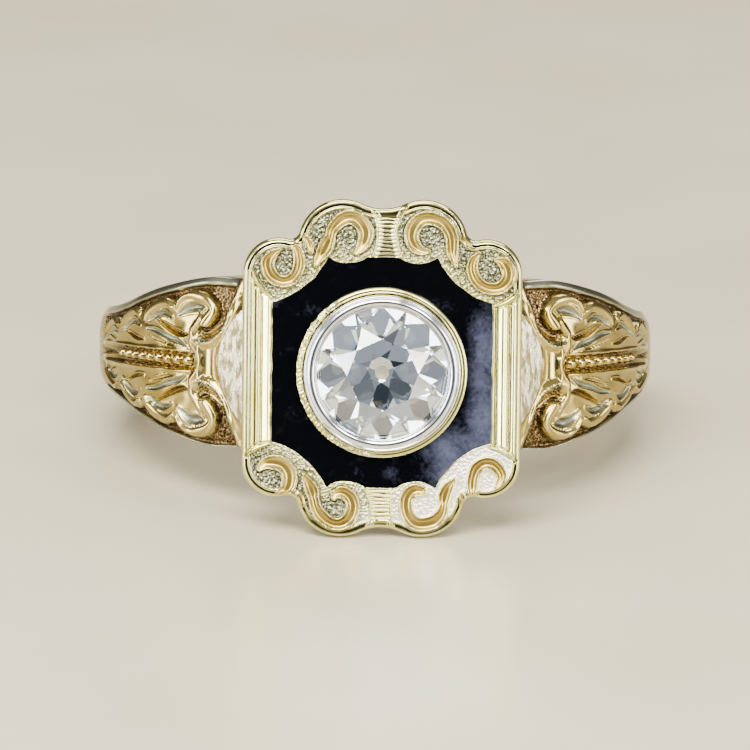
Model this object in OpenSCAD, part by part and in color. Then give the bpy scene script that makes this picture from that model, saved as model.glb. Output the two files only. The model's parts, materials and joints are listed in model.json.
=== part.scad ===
// Gold ring with a scalloped black enamel head, a bezel set old cut diamond and leaf carved shoulders.
// The finger axis is the ring's own Z, the head faces -Y, and the centre of the finger hole is its origin.
// Every piece is then turned and lifted together onto the surface that the ring lies on.

/* [Finger hole] */
// Radius of the finger hole
hole_r = 8.65; // [8.3:0.05:9]

/* [Band] */
// Width of the band across the shoulders
shoulder_w = 6.5; // [6:0.1:7]
// Width of the band at the back
back_w = 2.2; // [1.8:0.1:3]
// Thickness of the band at the back
back_t = 1.4; // [1.2:0.1:1.8]
// Height of the carved leaves above their ground
leaf_h = 0.3; // [0.15:0.05:0.35]
// Radius of the largest bead in the row between the leaves
bead_r = 0.24; // [0.18:0.02:0.28]

/* [Head outline] */
// Half the width of the head between its straight sides
side_u = 5.35; // [5.25:0.05:5.5]
// Radius of the four corner bumps
corner_r = 1.38; // [1.3:0.02:1.44]
// Height of the corner bump centres above the middle of the head
corner_v = 3.6; // [3.5:0.05:3.7]
// Radius of the four large bumps
bump_r = 1.72; // [1.66:0.02:1.78]
// Distance of the large bump centres from the middle, sideways
bump_u = 1.55; // [1.5:0.01:1.6]
// Height of the large bump centres above the middle of the head
bump_v = 4.75; // [4.7:0.05:4.85]
// Radius of the notch between a large bump and a corner bump
notch_r = 0.35; // [0.3:0.05:0.45]
// Radius of the valley between the two large bumps
valley_r = 1.89; // [1.7:0.01:2.1]

/* [Head heights above the finger axis] */
// Top of the raised scrolls
face_w = 12.05; // [11.95:0.05:12.2]
// Depth of the stippled ground below the scroll tops
ground_drop = 0.15; // [0.1:0.01:0.2]
// Depth of the enamel below the scroll tops
enamel_drop = 0.2; // [0.16:0.01:0.3]
// Thickness of the enamel
enamel_t = 0.5; // [0.3:0.05:0.6]

/* [Stone and setting] */
// Radius of the diamond at its girdle
stone_r = 2.6; // [2.56:0.01:2.62]
// Radius of the table
table_r = 1.33; // [1.2:0.01:1.45]
// Height of the girdle above the scroll tops
girdle_rise = 0.2; // [0.15:0.01:0.25]
// Height of the crown above the girdle
crown_h = 0.8; // [0.7:0.02:0.85]
// Angle of the pavilion below the girdle
pavilion_angle = 40; // [38:0.5:42]
// Radius of the flat on the stone's point
culet_r = 0.26; // [0.15:0.01:0.3]
// Outer radius of the white gold bezel
bezel_r = 3; // [2.96:0.01:3.02]
// Radius of the opening inside the bezel's lip
lip_r = 2.5; // [2.44:0.01:2.52]
// Outer radius of the low collar round the bezel
collar_r = 3.27; // [3.24:0.01:3.35]

/* [Hidden] */
gold = [0.86, 0.74, 0.42];
white_gold = [0.82, 0.83, 0.84];
enamel_black = [0.03, 0.03, 0.05];
stone_white = [0.85, 0.92, 0.97];
gap = 0.02;
sunk = 0.3;
through = 30;
ground_w = face_w - ground_drop;
enamel_w = face_w - enamel_drop;
girdle_w = face_w + girdle_rise;

// First column of a table that a smooth curve is drawn through
AT = 0;

// Band rows by angle from the head: share of the way from back_w to shoulder_w, and thickness beyond back_t
SHARE = 1;
RISE = 2;
band_rows = [
    [0, 1.0, 0.9],
    [20, 1.0, 1.5],
    [25, 1.0, 1.7],
    [31, 1.0, 1.2],
    [38, 1.0, 1.22],
    [50, 0.8, 1.15],
    [59, 0.6, 1.1],
    [66, 0.43, 1.08],
    [74, 0.31, 1.05],
    [90, 0.19, 0.94],
    [120, 0.07, 0.5],
    [150, 0.01, 0.1],
    [180, 0.0, 0.0],
];
across = 24;
inner_r = hole_r - 1;
edge_round = 0.35;
head_step = 7;
carved_from = 23;
carved_step = 1.4;
plain_step = 8;

// Leaf rows, one for each lobe of the acanthus, from the head outwards
LEAF_FROM = 0;
LEAF_TO = 1;
LEAF_REACH = 2;
leaf_rows = [
    [34, 51, 0.82],
    [51, 63, 0.82],
    [63, 76, 0.78],
];
leaf_root = 0.5;
leaf_soft = 0.16;
leaf_end = 74;
plain_from = 84;
gouge_depth = 0.18;
gouge_half = 0.1;
gouge_at = 0.36;
gouge_lean = 0.025;
rail_from = 0.86;
rail_soft = 0.06;
rail_drop = 0.1;
groove_half = 0.4;

// Bead row sunk between the leaves
bead_from = 41.5;
bead_step = 3.3;
bead_count = 8;
bead_shrink = 0.92;
bead_groove = 0.2;

// Panel rows by height above the middle: the angle where the smooth panel beside the head ends
PANEL_END = 1;
panel_rows = [
    [0, 37.4],
    [0.5, 38.5],
    [1.0, 39.6],
    [1.4, 39.4],
    [1.75, 33.5],
    [2.6, 31.2],
    [3.3, 27.0],
];
panel_soft = 1.6;
rim_rise = 0.1;
rim_v = [1.4, 1.8];
volute_angle = 36.6;
volute_v = 1.5;
volute_r = 0.34;
volute_wire = 0.13;

// Edge rows of the head from its foot to its face: inset from the outline, scale of width and height, height
EDGE_INSET = 0;
EDGE_SCALE_U = 1;
EDGE_SCALE_V = 2;
EDGE_W = 3;
edge_rows = [
    [0.3, 0.88, 0.56, face_w - 2.95],
    [0.3, 0.91, 0.70, face_w - 2.2],
    [0.3, 0.95, 0.86, face_w - 1.5],
    [0.28, 1, 0.98, face_w - 0.95],
    [0.1, 1, 1, face_w - 0.75],
    [0, 1, 1, face_w - 0.55],
    [0.01, 1, 1, face_w - 0.35],
    [0.09, 1, 1, face_w - 0.2],
    [0.22, 1, 1, ground_w - 0.01],
    [0.6, 1, 1, ground_w - 0.25],
];
plate_inset = 0.24;
plate_t = 0.8;
contact_row = 5;

// Scroll rows for one quarter of the face: centre and radius of the crescent, then of the hollow cut in it
SCROLL_C = 0;
SCROLL_R = 1;
HOLLOW_C = 2;
HOLLOW_R = 3;
scroll_rows = [
    [[1.3, 5.08], 0.87, [1.42, 4.82], 0.52],
    [[3.76, 3.93], 0.75, [3.7, 4.25], 0.5],
];
leaf_tail = [[2.0, 5.1], [1.88, 4.6], [2.56, 3.94], [2.36, 4.62]];
bar_u = [4.4, 4.71, 5.02];
bar_r = 0.17;
bar_drop = 0.04;
bar_half = 3.3;
mitre_top = [5.0, 3.72];
mitre_foot = [4.18, 2.55];
mitre_half = 0.11;
bridge_u = 0.75;
bridge_top = 6.0;
bridge_foot = 4.45;
bridge_waist = 0.42;
bridge_drop = 0.05;

// Field of the enamel: half sizes, and the circles that the frame cuts from it
field_u = 4.2;
field_v = 4.4;
field_corner = [4.98, 5.78];
field_corner_r = 3.2;
field_bump = [1.4, 5.42];
field_bump_r = 1.25;

// Setting: the gallery hole behind the stone and the ledge that the bezel stands on
seat_w = face_w - 1.2;
gallery_r = 2.2;
bezel_top = girdle_w + 0.35;
bezel_hole_r = 2.3;
girdle_half = 0.05;
table_w = girdle_w + girdle_half + crown_h;
culet_w = girdle_w - girdle_half - (stone_r - culet_r) * tan(pavilion_angle);
clear_w = table_w + 1;

// Facets: radius of the ring of star facet points on the crown, and of the main facet points on the pavilion
star_r = 1.95;
main_r = 1.85;
facet_half = 22.5;
star_w = table_w - crown_h * (star_r * cos(facet_half) - table_r) / (stone_r - table_r);
lower_w = girdle_w - girdle_half - (stone_r - main_r * cos(facet_half)) * tan(pavilion_angle);

// Resting position, on the two lower large bumps and the lower edge of the back
contact_w = edge_rows[contact_row][EDGE_W];
contact_v = bump_v + bump_r;
back_edge_r = hole_r + back_t - edge_round;
rest_tilt = atan((contact_v - back_w / 2) / (contact_w + back_edge_r));
rest_lift = contact_v * cos(rest_tilt) - contact_w * sin(rest_tilt);
front_reach = face_w * cos(rest_tilt) + bridge_top * sin(rest_tilt);
back_reach = (hole_r + back_t) * cos(rest_tilt) + back_w / 4 * sin(rest_tilt);
rest_shift = (front_reach - back_reach) / 2;

module at_rest() {
    translate([0, rest_shift, rest_lift]) rotate([-rest_tilt, 0, 0]) children();
}

// Turns +Z to the way the head faces, so that a height is a distance from the finger axis
module from_axis() {
    rotate([90, 0, 0]) children();
}

// Raises a flat shape on the head from height from_w to height to_w
module on_head(from_w, to_w) {
    from_axis() translate([0, 0, from_w]) linear_extrude(to_w - from_w) children();
}

module four_ways() {
    for (u = [0, 1], v = [0, 1]) mirror([u, 0, 0]) mirror([0, v, 0]) children();
}

// Smooth curve through one column of a table, at x in the table's first column
function slope(rows, col, i) =
    let (a = rows[max(i - 1, 0)], b = rows[min(i + 1, len(rows) - 1)])
    (b[col] - a[col]) / (b[AT] - a[AT]);

function curve(rows, col, x) =
    let (
        last = len(rows) - 2,
        k = max([for (i = [0:last]) if (i == 0 || x >= rows[i][AT]) i]),
        h = rows[k + 1][AT] - rows[k][AT],
        t = min(max((x - rows[k][AT]) / h, 0), 1),
        m = slope(rows, col, k) * h,
        n = slope(rows, col, k + 1) * h
    )
    rows[k][col] * (2 * t * t * t - 3 * t * t + 1) + m * (t * t * t - 2 * t * t + t)
    + rows[k + 1][col] * (3 * t * t - 2 * t * t * t) + n * (t * t * t - t * t);

// Rises smoothly from 0 to 1 as x goes from one value to the other
function ease(from, to, x) =
    let (t = min(max((x - from) / (to - from), 0), 1))
    t * t * (3 - 2 * t);

function band_width(a) = back_w + curve(band_rows, SHARE, a) * (shoulder_w - back_w);

function band_radius(a) = hole_r + back_t + curve(band_rows, RISE, a);

// How much of a leaf lobe stands at an angle, for a share q of the half width
function lobe(row, a, q) =
    let (
        middle = (row[LEAF_FROM] + row[LEAF_TO]) / 2,
        x = abs(a - middle) / (row[LEAF_TO] - middle),
        edge = leaf_root + (row[LEAF_REACH] - leaf_root) * sqrt(max(1 - x * x, 0))
    )
    x > 1 ? 0 : ease(0, leaf_soft, edge - q);

// Depth of the gouge cut slantwise along the middle of a lobe
function gouge(row, a, q) =
    let (
        middle = (row[LEAF_FROM] + row[LEAF_TO]) / 2,
        aside = abs(q - gouge_at - (a - middle) * gouge_lean),
        along = abs(a - middle) / (row[LEAF_TO] - row[LEAF_FROM])
    )
    gouge_depth * (1 - ease(0, 2 * gouge_half, aside)) * (1 - ease(0.25, 0.5, along));

// Height of the carving at an angle from the head, for a place z across the band
function relief(a, z) =
    let (
        q = abs(z) / (band_width(a) / 2),
        past = a - curve(panel_rows, PANEL_END, abs(z)),
        carved = ease(0, panel_soft, past) * (1 - ease(leaf_end, plain_from, a)),
        leaf = max([for (row = leaf_rows) lobe(row, a, q)]),
        cut = max([for (row = leaf_rows) gouge(row, a, q)]),
        rail = ease(rail_from - rail_soft, rail_from, q),
        groove = 1 - ease(groove_half / 2, groove_half, abs(z)),
        rim = (1 - ease(0, panel_soft, abs(past))) * (1 - ease(rim_v[0], rim_v[1], abs(z))),
        raised = max(leaf_h * leaf - cut, (leaf_h - rail_drop) * rail)
    )
    carved * (raised - leaf_h - bead_groove * groove) + rim_rise * rim;

function band_point(a, z) =
    let (
        q = abs(z) / (band_width(abs(a)) / 2),
        r = band_radius(abs(a)) + relief(abs(a), z) - edge_round * pow(q, 4)
    )
    [r * sin(a), -r * cos(a), z];

// One section of the band: the outer points, then the two inner corners
function band_ring(a) =
    let (half = band_width(abs(a)) / 2)
    concat(
        [for (j = [0:across]) band_point(a, half * (1 - 2 * j / across))],
        [for (z = [-half, half]) [inner_r * sin(a), -inner_r * cos(a), z]]
    );

// Angles round the band, close together where it is carved
half_angles = concat(
    [for (a = [0:head_step:carved_from - 1]) a],
    [for (a = [carved_from:carved_step:plain_from - plain_step / 2]) a],
    [for (a = [plain_from:plain_step:180 - plain_step / 2]) a],
    [180]
);
half_count = len(half_angles);
band_angles = concat(half_angles, [for (i = [half_count - 2:-1:1]) -half_angles[i]]);

// Triangles that join rows of n points into a tube; a closed one joins the last row to the first
function tube_faces(rows, n, closed) = [
    for (i = [0:rows - (closed ? 1 : 2)], j = [0:n - 1])
        let (k = (i + 1) % rows, l = (j + 1) % n)
        each [[i * n + j, k * n + j, k * n + l], [i * n + j, k * n + l, i * n + l]]
];

module band() {
    rings = [for (a = band_angles) band_ring(a)];
    polyhedron([for (ring = rings) each ring], tube_faces(len(rings), across + 3, true));
}

// Centre of the circle of radius r that touches two circles from outside, on the left of the way between them
function touching(c, cr, d, dr, r) =
    let (
        far = norm(d - c),
        way = (d - c) / far,
        along = (pow(cr + r, 2) - pow(dr + r, 2) + far * far) / (2 * far),
        off = sqrt(pow(cr + r, 2) - along * along)
    )
    c + along * way + off * [-way[1], way[0]];

function heading(from, to) = atan2(to[1] - from[1], to[0] - from[0]);

function arc(c, r, from, to, n, first = 0) = [
    for (i = [first:n])
        let (a = from + (to - from) * i / n)
        c + r * [cos(a), sin(a)]
];

corner_c = [side_u - corner_r, corner_v];
bump_c = [bump_u, bump_v];
notch_c = touching(bump_c, bump_r, corner_c, corner_r, notch_r);
valley_c = touching([-bump_u, bump_v], bump_r, bump_c, bump_r, valley_r);

// Upper right quarter of the scalloped outline, from the side to the middle of the top
function quarter(inset) = concat(
    arc(corner_c, corner_r - inset, 0, heading(corner_c, notch_c), 6),
    arc(notch_c, notch_r + inset, heading(notch_c, corner_c), heading(notch_c, bump_c), 3, 1),
    arc(bump_c, bump_r - inset, heading(bump_c, notch_c), heading(bump_c, valley_c), 7, 1),
    arc(valley_c, valley_r + inset, heading(valley_c, bump_c), -90, 3, 1)
);

function outline(inset) =
    let (q = quarter(inset), n = len(q))
    concat(
        q,
        [for (i = [n - 2:-1:0]) [-q[i][0], q[i][1]]],
        [for (p = q) -p],
        [for (i = [n - 2:-1:0]) [q[i][0], -q[i][1]]]
    );

// Body of the head: a foot on the band that opens out to a rounded flange, a little hollow under the plate
module head_block() {
    rings = [
        for (row = edge_rows)
            let (u_scale = row[EDGE_SCALE_U], v_scale = row[EDGE_SCALE_V])
            [for (p = outline(row[EDGE_INSET])) [p[0] * u_scale, -row[EDGE_W], p[1] * v_scale]]
    ];
    n = len(rings[0]);
    top = (len(rings) - 1) * n;
    caps = [[for (j = [0:n - 1]) j], [for (j = [n - 1:-1:0]) top + j]];
    polyhedron([for (ring = rings) each ring], concat(tube_faces(len(rings), n, false), caps));
}

// Flat face of the head, which the relief stands on
module head_plate() {
    on_head(ground_w - plate_t, ground_w) polygon(outline(plate_inset));
}

// Outline of the enamel field, drawn in by g all round
module field(g) {
    difference() {
        square([2 * (field_u - g), 2 * (field_v - g)], center = true);
        four_ways() {
            translate(field_corner) circle(field_corner_r + g, $fn = 96);
            translate(field_bump) circle(field_bump_r + g, $fn = 64);
        }
    }
}

// Scrolls, leaf tails and mitre leaves of one quarter of the face
module scroll_quarter() {
    for (row = scroll_rows)
        difference() {
            translate(row[SCROLL_C]) circle(row[SCROLL_R], $fn = 64);
            translate(row[HOLLOW_C]) circle(row[HOLLOW_R], $fn = 48);
        }
    polygon(leaf_tail);
    mitre_leaf();
}

// A leaf shape between two points, with bowed sides
module mitre_leaf() {
    middle = (mitre_top + mitre_foot) / 2;
    half = (mitre_top - mitre_foot) / 2;
    side = mitre_half * [-half[1], half[0]] / norm(half);
    polygon([for (a = [0:30:330]) middle + half * cos(a) + side * sin(a)]);
}

// Flat bridge with a narrow waist, where a circle is cut from each side
module bridge() {
    half = (bridge_top - bridge_foot) / 2;
    cut = bridge_u - bridge_waist;
    side_r = (half * half + cut * cut) / (2 * cut);
    difference() {
        translate([-bridge_u, bridge_foot]) square([2 * bridge_u, 2 * half]);
        for (s = [-1, 1])
            translate([s * (bridge_waist + side_r), bridge_foot + half]) circle(side_r, $fn = 64);
    }
}

// Reeds along one side of the head, cut off slantwise by the mitre leaves
module side_bar() {
    intersection() {
        for (u = bar_u)
            translate([u, bar_drop - ground_w, -bar_half]) cylinder(2 * bar_half, r = bar_r, $fn = 12);
        on_head(ground_w - sunk, face_w + sunk)
            polygon([
                mitre_foot, [mitre_foot[0], -mitre_foot[1]],
                [mitre_top[0], -mitre_top[1]], [side_u, -mitre_top[1]],
                [side_u, mitre_top[1]], mitre_top,
            ]);
    }
}

module face_relief() {
    on_head(ground_w - sunk, face_w) four_ways() scroll_quarter();
    on_head(ground_w - sunk, face_w - bridge_drop) for (v = [0, 1]) mirror([0, v, 0]) bridge();
    for (u = [0, 1]) mirror([u, 0, 0]) side_bar();
}

// Stands a piece on the band at an angle from the head, height z and distance r from the finger axis
module on_band(a, z, r) {
    rotate([0, 0, a]) translate([0, -r, z]) from_axis() children();
}

module volute() {
    rotate_extrude($fn = 48) translate([volute_r, 0]) circle(volute_wire, $fn = 24);
}

module shoulder_trim() {
    for (side = [-1, 1]) {
        for (z = [-volute_v, volute_v])
            on_band(side * volute_angle, z, band_radius(volute_angle)) volute();
        for (i = [0:bead_count - 1]) {
            a = bead_from + i * bead_step;
            on_band(side * a, 0, band_radius(a) - bead_groove) sphere(bead_r * pow(bead_shrink, i), $fn = 24);
        }
    }
}

// Section of the stone grown by g, which the setting leaves free
module stone_section(g) {
    polygon([
        [0, culet_w - g], [culet_r, culet_w - g], [main_r, lower_w - g],
        [stone_r + g, girdle_w - girdle_half - g], [stone_r + g, girdle_w + girdle_half + g],
        [star_r, star_w + g], [table_r, table_w + g], [0, table_w + g],
    ]);
}

module gold_ring() {
    color(gold)
        difference() {
            union() {
                band();
                head_block();
                head_plate();
                face_relief();
                shoulder_trim();
                on_head(enamel_w - enamel_t - sunk, face_w) circle(collar_r, $fn = 96);
            }
            cylinder(through, r = hole_r, center = true, $fn = 128);
            on_head(enamel_w - enamel_t - gap, clear_w) difference() {
                field(0);
                circle(collar_r, $fn = 96);
            }
            on_head(seat_w, clear_w) circle(bezel_r + gap, $fn = 96);
            on_head(inner_r, clear_w) circle(gallery_r, $fn = 64);
        }
}

module enamel_panel() {
    color(enamel_black)
        on_head(enamel_w - enamel_t, enamel_w) difference() {
            field(gap);
            circle(collar_r + gap, $fn = 96);
        }
}

module bezel() {
    lip = (bezel_r - lip_r) / 2;
    color(white_gold)
        from_axis() rotate_extrude($fn = 128) difference() {
            union() {
                translate([bezel_hole_r, seat_w + gap])
                    square([bezel_r - bezel_hole_r, bezel_top - lip - seat_w - gap]);
                translate([bezel_r - lip, bezel_top - lip]) circle(lip, $fn = 32);
            }
            stone_section(gap);
        }
}

// Ring of n points of the stone, at radius r and height w
function stone_ring(n, r, w, turn) = [
    for (i = [0:n - 1])
        let (a = i * 360 / n + turn)
        [r * cos(a), r * sin(a), w]
];

// Brilliant with eight table sides, sixteen girdle corners and an open culet
module diamond() {
    points = concat(
        stone_ring(8, table_r, table_w, 0),
        stone_ring(8, star_r, star_w, facet_half),
        stone_ring(16, stone_r, girdle_w + girdle_half, 0),
        stone_ring(16, stone_r, girdle_w - girdle_half, 0),
        stone_ring(8, main_r, lower_w, facet_half),
        stone_ring(8, culet_r / cos(facet_half), culet_w, facet_half)
    );
    triples = [for (i = [0:len(points) - 3]) [i, i + 1, i + 2]];
    color(stone_white) from_axis() hull() polyhedron(points, triples);
}

at_rest() gold_ring();
at_rest() enamel_panel();
at_rest() bezel();
at_rest() diamond();
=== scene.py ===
import json
import math

import bmesh
import bpy
import numpy as np
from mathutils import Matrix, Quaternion, Vector


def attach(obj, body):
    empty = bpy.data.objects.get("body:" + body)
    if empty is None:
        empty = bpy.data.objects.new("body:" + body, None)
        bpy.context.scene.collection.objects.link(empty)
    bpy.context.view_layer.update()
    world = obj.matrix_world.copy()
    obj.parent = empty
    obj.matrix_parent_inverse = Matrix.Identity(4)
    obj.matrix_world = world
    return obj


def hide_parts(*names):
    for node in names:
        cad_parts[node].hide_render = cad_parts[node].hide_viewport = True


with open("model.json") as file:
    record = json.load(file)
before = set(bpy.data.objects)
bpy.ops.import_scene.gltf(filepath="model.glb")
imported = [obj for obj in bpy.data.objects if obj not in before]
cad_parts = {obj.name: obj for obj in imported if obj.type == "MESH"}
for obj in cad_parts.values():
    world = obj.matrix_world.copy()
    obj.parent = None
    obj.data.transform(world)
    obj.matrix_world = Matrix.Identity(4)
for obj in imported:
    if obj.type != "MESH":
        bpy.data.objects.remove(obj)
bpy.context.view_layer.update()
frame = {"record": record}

# Tables are in millimetres in the ring's own frame: the finger axis is Z, the head faces -Y.
# On the head, u runs to the right, v up and w outwards from the finger axis.
MM = 0.001

# Finger hole and resting place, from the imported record
hole = frame["record"]["mounts"][0]
HOLE_R = hole["dims"]["r_mm"]
LEAN_SIN, LEAN_COS = hole["axis"][1], hole["axis"][2]
SHIFT, LIFT = hole["pos_m"][1], hole["pos_m"][2]

# Band, as in the solid: angle from the head, share of the way from the back's width to the shoulders',
# and thickness beyond the back's
BACK_W, SHOULDER_W, BACK_T = 2.2, 6.5, 1.4
EDGE_ROUND = 0.35
BAND_ROWS = [
    (0, 1.0, 0.9), (20, 1.0, 1.5), (25, 1.0, 1.7), (31, 1.0, 1.2), (38, 1.0, 1.22), (50, 0.8, 1.15),
    (59, 0.6, 1.1), (66, 0.43, 1.08), (74, 0.31, 1.05), (90, 0.19, 0.94), (120, 0.07, 0.5),
    (150, 0.01, 0.1), (180, 0.0, 0.0),
]
SHARE, RISE = 1, 2
# How far the dressed band stays inside the faceted solid
INSIDE = 0.02

# Head outline, as in the solid
SIDE_U = 5.35
CORNER_R, CORNER_V = 1.38, 3.6
BUMP_R, BUMP_U, BUMP_V = 1.72, 1.55, 4.75
NOTCH_R, VALLEY_R = 0.35, 1.89

# Heights above the finger axis
FACE_W = 12.05
GROUND_W = FACE_W - 0.15
ENAMEL_W = FACE_W - 0.2
SEAT_W = FACE_W - 1.2
GIRDLE_W = FACE_W + 0.2
BEZEL_TOP = GIRDLE_W + 0.35

# Stone and setting
STONE_R, TABLE_R, CROWN_H, PAVILION_ANGLE = 2.6, 1.36, 0.8, 41.3
CULET_R, STAR_R, LOWER_R, GIRDLE_HALF = 0.26, 1.95, 1.3, 0.05
# Turn of the stone in its setting in degrees, and half the height of the blank that it is cut from
STONE_TURN, BLANK_HALF = 2.0, 3.0
BEZEL_R, LIP_R, COLLAR_R, GALLERY_R = 3.0, 2.5, 3.27, 2.2
# Seat of the setting in the head: its wall, and the hole in its floor
SEAT_R, SEAT_HOLE_R = 3.1, 2.34

# Enamel field: half sizes, and the circles that the frame cuts from it. It and the stone sit a little low
FIELD_U, FIELD_V = 4.2, 4.42
FIELD_CUTS = [(4.98, 5.78, 3.2), (1.35, 5.42, 1.25)]
FITTED_V = -0.14

# Further than any distance that matters, and how far round a stroke distances are worked out
FAR, STROKE_REACH = 9.0, 0.8
# Points closer than this, in metres, are one
SEAM = 1e-8


def placed(points):
    """Points of the ring's own frame, in mm, where they lie at rest, in metres."""
    x, y, z = points[..., 0] * MM, points[..., 1] * MM, points[..., 2] * MM
    return np.stack([x, y * LEAN_COS + z * LEAN_SIN + SHIFT, z * LEAN_COS - y * LEAN_SIN + LIFT], -1)


def on_head(u, v, w):
    """Points of the head in the ring's own frame."""
    return np.stack(np.broadcast_arrays(u, -np.asarray(w, float), v), -1)


def round_setting(angle, radius, w):
    """Points of a circle round the setting's axis."""
    return on_head(radius * np.cos(angle), FITTED_V + radius * np.sin(angle), w)


def ease(start, end, x):
    """Rises smoothly from 0 to 1 as x goes from start to end."""
    t = np.clip((x - start) / (end - start), 0, 1)
    return t * t * (3 - 2 * t)


def crest(x, half):
    """A soft ridge, 1 at x = 0 and nearly 0 past its half width."""
    return np.exp(-((x / half) ** 2) * 1.4)


def blend(under, over, share):
    """Covers one height with another by a share from 0 to 1."""
    return under * (1 - share) + over * share


def curve(rows, column, x):
    """Smooth curve through one column of a table, at x in its first column."""
    table = np.array(rows, float)
    at, value = table[:, 0], table[:, column]
    before, after = np.r_[0, 0:len(at) - 1], np.r_[1:len(at), len(at) - 1]
    slope = (value[after] - value[before]) / (at[after] - at[before])
    k = np.clip(np.searchsorted(at, x, side="right") - 1, 0, len(at) - 2)
    h = at[k + 1] - at[k]
    t = np.clip((x - at[k]) / h, 0, 1)
    start = value[k] * (2 * t**3 - 3 * t**2 + 1) + slope[k] * h * (t**3 - 2 * t**2 + t)
    return start + value[k + 1] * (3 * t**2 - 2 * t**3) + slope[k + 1] * h * (t**3 - t**2)


def smooth_line(rows, steps=6):
    """A line through the rows of a table, rounded between them, with every column carried along."""
    p = np.array(rows, float)
    padded = np.vstack([2 * p[0] - p[1], p, 2 * p[-1] - p[-2]])
    t = np.linspace(0, 1, steps, endpoint=False)[:, None]
    parts = []
    for a, b, c, d in zip(padded[:-3], padded[1:-2], padded[2:-1], padded[3:]):
        bend = 2 * a - 5 * b + 4 * c - d
        twist = 3 * b - a - 3 * c + d
        parts.append(0.5 * (2 * b + (c - a) * t + bend * t**2 + twist * t**3))
    return np.vstack(parts + [p[-1:]])


def to_stroke(x, y, rows):
    """Distance outside a stroke, less than 0 in it, and its half width there. Rows: x, y, half width."""
    line = smooth_line(rows)
    low, high = line[:, :2].min(0) - STROKE_REACH, line[:, :2].max(0) + STROKE_REACH
    near = (x > low[0]) & (x < high[0]) & (y > low[1]) & (y < high[1])
    px, py = x[near], y[near]
    best, width = np.full(px.shape, FAR), np.full(px.shape, 0.1)
    for (ax, ay, aw), (bx, by, bw) in zip(line[:-1], line[1:]):
        dx, dy = bx - ax, by - ay
        t = np.clip(((px - ax) * dx + (py - ay) * dy) / (dx * dx + dy * dy + 1e-12), 0, 1)
        w = aw + t * (bw - aw)
        d = np.hypot(px - ax - t * dx, py - ay - t * dy) - w
        closer = d < best
        best, width = np.where(closer, d, best), np.where(closer, w, width)
    far, half = np.full(x.shape, FAR), np.full(x.shape, 0.1)
    far[near], half[near] = best, np.maximum(width, 0.01)
    return far, half


def inside(x, y, rows):
    """Distance inside a rounded closed outline, less than 0 outside it."""
    ring = smooth_line(list(rows) + [rows[0]], 4)
    far, within = np.full(x.shape, FAR), np.zeros(x.shape, bool)
    for (ax, ay), (bx, by) in zip(ring[:-1], ring[1:]):
        dx, dy = bx - ax, by - ay
        t = np.clip(((x - ax) * dx + (y - ay) * dy) / (dx * dx + dy * dy + 1e-12), 0, 1)
        far = np.minimum(far, np.hypot(x - ax - t * dx, y - ay - t * dy))
        if ay != by:
            within ^= ((ay > y) != (by > y)) & (x < ax + (y - ay) * dx / dy)
    return np.where(within, far, -far)


def scatter(x, y, cell, seed):
    """Distance, in cells, to the nearest of a set of scattered points, about one in each cell."""
    gx, gy = x / cell, y / cell
    nearest = np.full(x.shape, FAR)
    for i in (-1, 0, 1):
        for j in (-1, 0, 1):
            cx, cy = np.floor(gx) + i, np.floor(gy) + j
            a = np.sin(cx * 127.1 + cy * 311.7 + seed) * 43758.5
            b = np.sin(cx * 269.5 + cy * 183.3 + seed) * 24634.6
            nearest = np.minimum(nearest, np.hypot(cx + a - np.floor(a) - gx, cy + b - np.floor(b) - gy))
    return nearest


def wander(x, y, size, seed):
    """Soft uneven swell between -1 and 1, about as coarse as size, as a hand leaves it."""
    a = np.sin(x / size * 2.1 + seed + 1.3 * np.sin(y / size * 1.7 + seed))
    b = np.sin(y / size * 2.6 - seed + 1.1 * np.sin(x / size * 1.4 + 2 * seed))
    return (a + b) / 2


def woven(name, points, layers, opened=None):
    """A closed surface from rows and columns of points that wrap both ways, with its layers' values."""
    rows, columns = points.shape[:2]
    bm = bmesh.new()
    bmesh.ops.create_grid(bm, x_segments=columns, y_segments=rows, size=1)
    mesh = bpy.data.meshes.new(name)
    bm.to_mesh(mesh)
    bm.free()
    flat = np.zeros(len(mesh.vertices) * 3)
    mesh.vertices.foreach_get("co", flat)
    grid = flat.reshape(-1, 3)
    column = np.rint((grid[:, 0] + 1) / 2 * columns).astype(int) % columns
    row = np.rint((grid[:, 1] + 1) / 2 * rows).astype(int) % rows
    mesh.vertices.foreach_set("co", placed(points)[row, column].ravel())
    for layer, values in layers.items():
        attribute = mesh.attributes.new(layer, "FLOAT", "POINT")
        attribute.data.foreach_set("value", np.asarray(values, np.float32)[row, column])
    bm = bmesh.new()
    bm.from_mesh(mesh)
    bmesh.ops.remove_doubles(bm, verts=bm.verts, dist=SEAM)
    if opened:
        opened(bm)
    return finished(name, bm, mesh)


def in_scene(name, data):
    """A new object of the scene."""
    made = bpy.data.objects.new(name, data)
    bpy.context.scene.collection.objects.link(made)
    return made


def finished(name, bm, mesh=None, smooth=True):
    """An object from a bmesh, its faces pointing outwards."""
    bmesh.ops.recalc_face_normals(bm, faces=bm.faces)
    mesh = mesh or bpy.data.meshes.new(name)
    for face in bm.faces:
        face.smooth = smooth
    bm.to_mesh(mesh)
    bm.free()
    return in_scene(name, mesh)


# Head outline

# Points along half a side, and along each arc of the outline
SIDE_POINTS, ARC_POINTS = 40, 60
# Beside the bars, up to this height, the points lie this share as dense
BARS_HALF, BARS_SHARE = 2.3, 0.5
# How often the way to the enamel's edge is halved
BISECTIONS = 24


def touching(c, cr, d, dr, r):
    """Centre of the circle of radius r that touches two others from outside, left of the way between."""
    far = np.linalg.norm(d - c)
    way = (d - c) / far
    along = ((cr + r) ** 2 - (dr + r) ** 2 + far**2) / (2 * far)
    off = math.sqrt((cr + r) ** 2 - along**2)
    return c + along * way + off * np.array([-way[1], way[0]])


def heading(start, end):
    """Angle of the way from one point to another."""
    return math.atan2(end[1] - start[1], end[0] - start[0])


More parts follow.
